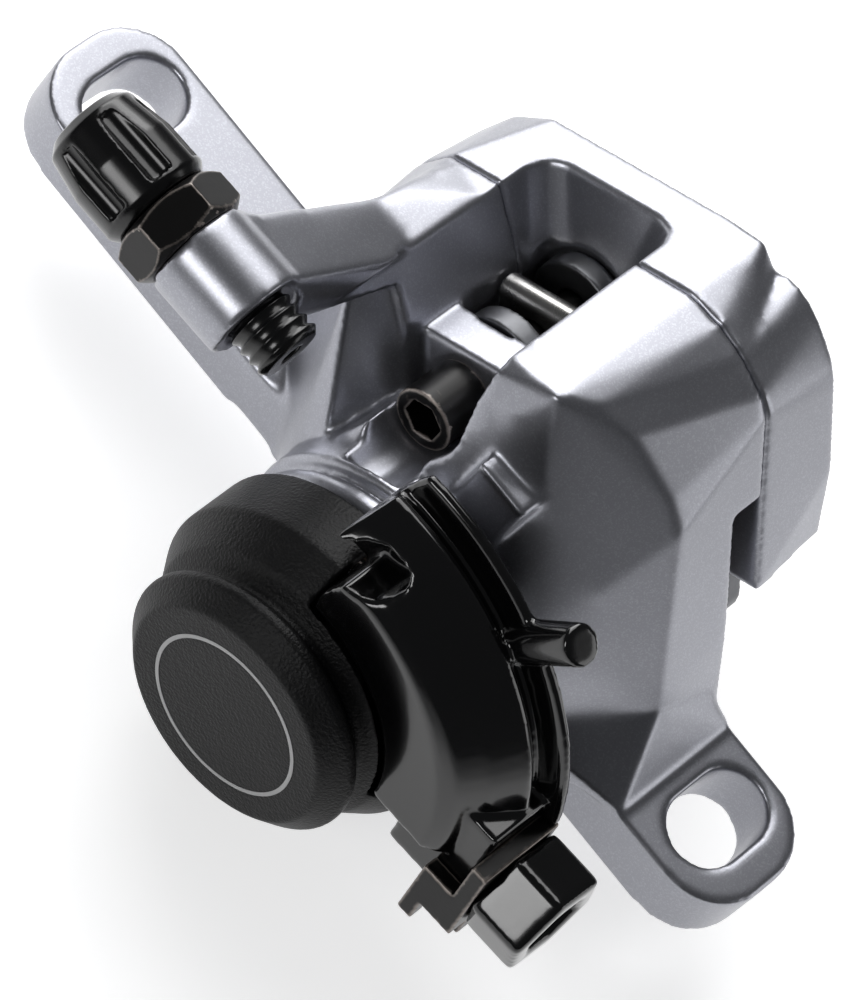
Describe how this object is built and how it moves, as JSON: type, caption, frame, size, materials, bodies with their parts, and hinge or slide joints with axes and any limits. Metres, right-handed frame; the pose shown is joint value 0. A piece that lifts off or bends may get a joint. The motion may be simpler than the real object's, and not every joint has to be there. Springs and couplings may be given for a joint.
{
  "type": "bicycle disc brake caliper",
  "caption": "Cable-pulled mechanical disc brake caliper for a bicycle, with a slotted mounting bar, pulling arm, barrel adjuster, pads and rotor slot.",
  "frame": {"origin": "midway between the two bolt slots, on the back mounting face", "axes": "+X along the mounting bar, +Y inboard along the wheel axle, +Z out of the back mounting face toward the bolt heads"},
  "size_m": [0.0874, 0.0557, 0.0441],
  "materials": {
    "cast": "satin silver paint over cast aluminium",
    "steel": "bare machined steel",
    "black_steel": "blackened steel, slightly glossy",
    "arm_paint": "gloss black paint",
    "cap_plastic": "fine matte texture, black",
    "ring_ink": "light grey print",
    "barrel_plastic": "gloss black",
    "plate_steel": "dark coated steel",
    "lining": "resin friction compound",
    "spring_steel": "bright spring steel",
    "bronze": "plain bearing bronze",
    "seal": "black rubber",
    "dial_plastic": "black nylon"
  },
  "bodies": {
    "housing": {"outboard_body": "cast", "inboard_body": "cast", "body_bolts": "black_steel", "pad_axle": "black_steel", "axle_clip": "spring_steel", "pad_spring": "spring_steel", "fixed_ramp": "steel", "shaft_bush": "bronze", "return_spring": "spring_steel"},
    "outer_pad_unit": {"outer_piston": "steel", "piston_seal": "seal", "thrust_washer": "bronze", "outer_pad_plate": "plate_steel", "outer_pad_lining": "lining"},
    "arm_unit": {"drive_shaft": "steel", "lever_arm": "arm_paint", "arm_washer": "steel", "arm_bolt": "black_steel", "arm_cap": "cap_plastic", "cap_ring": "ring_ink", "clamp_bolt": "black_steel", "clamp_plate": "black_steel"},
    "ball_set": {"ramp_balls": "steel", "ball_cage": "bronze"},
    "inner_pad_unit": {"inner_pad_plate": "plate_steel", "inner_pad_lining": "lining"},
    "adjuster": {"adjuster_screw": "steel", "adjuster_dial": "dial_plastic", "adjuster_seal": "seal", "dial_clip": "spring_steel"},
    "nut_unit": {"lock_nut": "black_steel"},
    "barrel": {"barrel_adjuster": "barrel_plastic"}
  },
  "joints": [
    {"name": "outer_pad_slide", "type": "slide", "parent": "housing", "child": "outer_pad_unit", "axis": [0, 1, 0], "range_m": [0, 0.000837]},
    {"name": "arm_pivot", "type": "hinge", "parent": "outer_pad_unit", "child": "arm_unit", "pos_m": [0.0067, -0.018, 0.0069], "axis": [0, -1, 0], "range_deg": [0, 32], "stiffness_Nm_per_rad": 0.12, "springref_deg": -34.38},
    {"name": "ball_orbit", "type": "hinge", "parent": "housing", "child": "ball_set", "pos_m": [0.0067, -0.0082, 0.0069], "axis": [0, -1, 0], "range_deg": [0, 16.2]},
    {"name": "inner_pad_slide", "type": "slide", "parent": "housing", "child": "inner_pad_unit", "axis": [0, -1, 0], "range_m": [0, 0.001]},
    {"name": "adjuster_turn", "type": "hinge", "parent": "inner_pad_unit", "child": "adjuster", "pos_m": [0.0067, 0.02, 0.0069], "axis": [0, -1, 0], "range_deg": [0, 360.5]},
    {"name": "nut_slide", "type": "slide", "parent": "housing", "child": "nut_unit", "axis": [-0.9976, 0, -0.0698], "range_m": [0, 0.003]},
    {"name": "barrel_turn", "type": "hinge", "parent": "nut_unit", "child": "barrel", "pos_m": [-0.03073, -0.0175, 0.02604], "axis": [-0.9976, 0, -0.0698], "range_deg": [0, 1081]}
  ],
  "couplings": [
    {"joint": "arm_pivot", "follows": "outer_pad_slide", "rad_per_m": 666.67},
    {"joint": "ball_orbit", "follows": "outer_pad_slide", "rad_per_m": 333.33},
    {"joint": "adjuster_turn", "follows": "inner_pad_slide", "rad_per_m": 6283.2},
    {"joint": "barrel_turn", "follows": "nut_slide", "rad_per_m": 6283.2}
  ]
}
